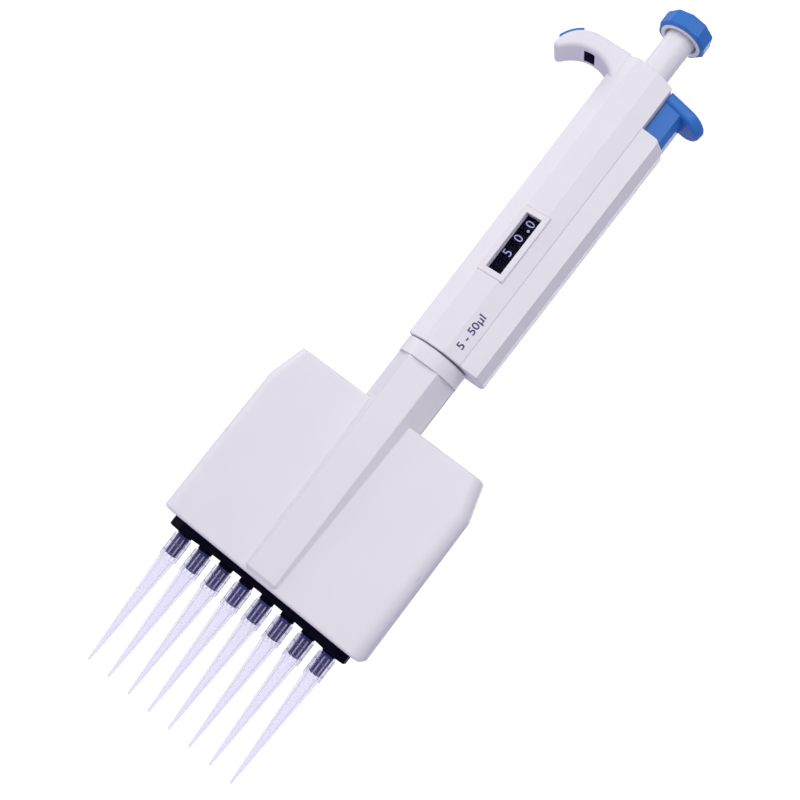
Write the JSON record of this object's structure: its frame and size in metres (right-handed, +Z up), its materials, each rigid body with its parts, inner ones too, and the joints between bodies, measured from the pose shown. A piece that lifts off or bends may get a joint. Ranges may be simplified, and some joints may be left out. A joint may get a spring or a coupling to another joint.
{
  "type": "multichannel micropipette",
  "caption": "Adjustable multichannel micropipette with a faceted handle, finger hook, digit counter, push knob, tip ejector lever and a wide swivelling head carrying a row of disposable tips.",
  "frame": {"origin": "on the main axis of plunger and head swivel, at the level of the tip ends", "axes": "+Z up the pipette from tips to knob, +X towards the tip ejector lever and -X towards the finger hook, -Y towards the display"},
  "size_m": [0.084, 0.0254, 0.2939],
  "materials": {
    "white_plastic": "smooth satin moulding, very slightly lavender white",
    "blue_plastic": "satin blue moulding",
    "black_plastic": "satin black moulding",
    "tip_plastic": "translucent polypropylene",
    "clear_plastic": "clear polished lens",
    "steel": "ground stainless steel",
    "spring_steel": "drawn spring wire",
    "brass": "turned brass",
    "acetal": "natural acetal",
    "seal_rubber": "moulded elastomer"
  },
  "bodies": {
    "handle": {"handle_casing": "white_plastic", "ejector_housing": "white_plastic", "window_bezel": "white_plastic", "display_window": "clear_plastic", "hook_id_cap": "blue_plastic", "plunger_bush": "acetal", "mechanism_sleeve": "acetal", "counter_core": "acetal", "counter_blank_ring": "black_plastic", "swivel_bush": "acetal", "return_spring": "spring_steel", "blowout_spring": "spring_steel", "blowout_seat": "brass", "ejector_spring": "spring_steel"},
    "plunger": {"push_rod": "steel"},
    "dial": {"control_knob": "blue_plastic", "knob_insert": "white_plastic", "plunger_shaft": "white_plastic", "drive_rod": "steel"},
    "setting_screw": {"volume_screw": "brass", "wheel_tenths": "black_plastic"},
    "units_wheel": {"wheel_units": "black_plastic"},
    "tens_wheel": {"wheel_tens": "black_plastic"},
    "stop_nut": {"volume_nut": "brass"},
    "ejector": {"ejector_button": "blue_plastic", "ejector_rod": "steel", "ejector_pusher": "acetal"},
    "head": {"head_front_shell": "white_plastic", "head_rear_shell": "white_plastic", "neck_ring": "white_plastic", "swivel_collar": "acetal", "nozzle_block": "acetal", "seal_plate": "steel", "plate_screws": "steel", "piston_seals": "seal_rubber", "guide_pins": "steel", "nozzles": "black_plastic", "nozzle_seals": "seal_rubber", "head_screws": "steel", "carriage_springs": "spring_steel", "bar_springs": "spring_steel"},
    "piston_carriage": {"piston_carrier": "acetal", "pistons": "steel", "piston_drive_rod": "steel"},
    "tip_ejector_bar": {"ejector_bar": "black_plastic", "ejector_yoke": "acetal", "bar_rods": "steel"},
    "tips": {"pipette_tips": "tip_plastic"}
  },
  "joints": [
    {"name": "plunger_slide", "type": "slide", "parent": "handle", "child": "plunger", "axis": [0, 0, -1], "range_m": [0, 0.015], "stiffness_N_per_m": 300, "springref_m": -0.008, "deforming": ["return_spring", "blowout_spring", "carriage_springs"]},
    {"name": "dial_turn", "type": "hinge", "parent": "plunger", "child": "dial", "pos_m": [0, 0, 0.29], "axis": [0, 0, 1], "range_deg": [-3245, 5]},
    {"name": "setting_screw_turn", "type": "hinge", "parent": "handle", "child": "setting_screw", "pos_m": [0, 0, 0.2], "axis": [0, 0, 1], "range_deg": [-3245, 5]},
    {"name": "units_wheel_turn", "type": "hinge", "parent": "handle", "child": "units_wheel", "pos_m": [0, 0, 0.19745], "axis": [0, 0, 1], "range_deg": [-1625, 5]},
    {"name": "tens_wheel_turn", "type": "hinge", "parent": "handle", "child": "tens_wheel", "pos_m": [0, 0, 0.1914], "axis": [0, 0, 1], "range_deg": [-167, 5]},
    {"name": "stop_nut_slide", "type": "slide", "parent": "handle", "child": "stop_nut", "axis": [0, 0, 1], "range_m": [-0.0108, 0]},
    {"name": "ejector_slide", "type": "slide", "parent": "handle", "child": "ejector", "axis": [0, 0, -1], "range_m": [0, 0.008], "stiffness_N_per_m": 400, "springref_m": -0.006, "deforming": ["ejector_spring", "bar_springs"]},
    {"name": "head_swivel", "type": "hinge", "parent": "handle", "child": "head", "pos_m": [0, 0, 0.151], "axis": [0, 0, 1], "continuous": true},
    {"name": "carriage_slide", "type": "slide", "parent": "head", "child": "piston_carriage", "axis": [0, 0, -1], "range_m": [-0.0001, 0.0151]},
    {"name": "bar_slide", "type": "slide", "parent": "head", "child": "tip_ejector_bar", "axis": [0, 0, -1], "range_m": [-0.0001, 0.0081]},
    {"name": "tips_release", "type": "slide", "parent": "tip_ejector_bar", "child": "tips", "axis": [0, 0, -1], "range_m": [0, 0.02]}
  ],
  "couplings": [
    {"joint": "dial_turn", "follows": "stop_nut_slide", "rad_per_m": 5236},
    {"joint": "setting_screw_turn", "follows": "stop_nut_slide", "rad_per_m": 5236},
    {"joint": "units_wheel_turn", "follows": "stop_nut_slide", "rad_per_m": 2618},
    {"joint": "tens_wheel_turn", "follows": "stop_nut_slide", "rad_per_m": 261.8},
    {"joint": "carriage_slide", "follows": "plunger_slide", "ratio": 1},
    {"joint": "bar_slide", "follows": "ejector_slide", "ratio": 1}
  ]
}
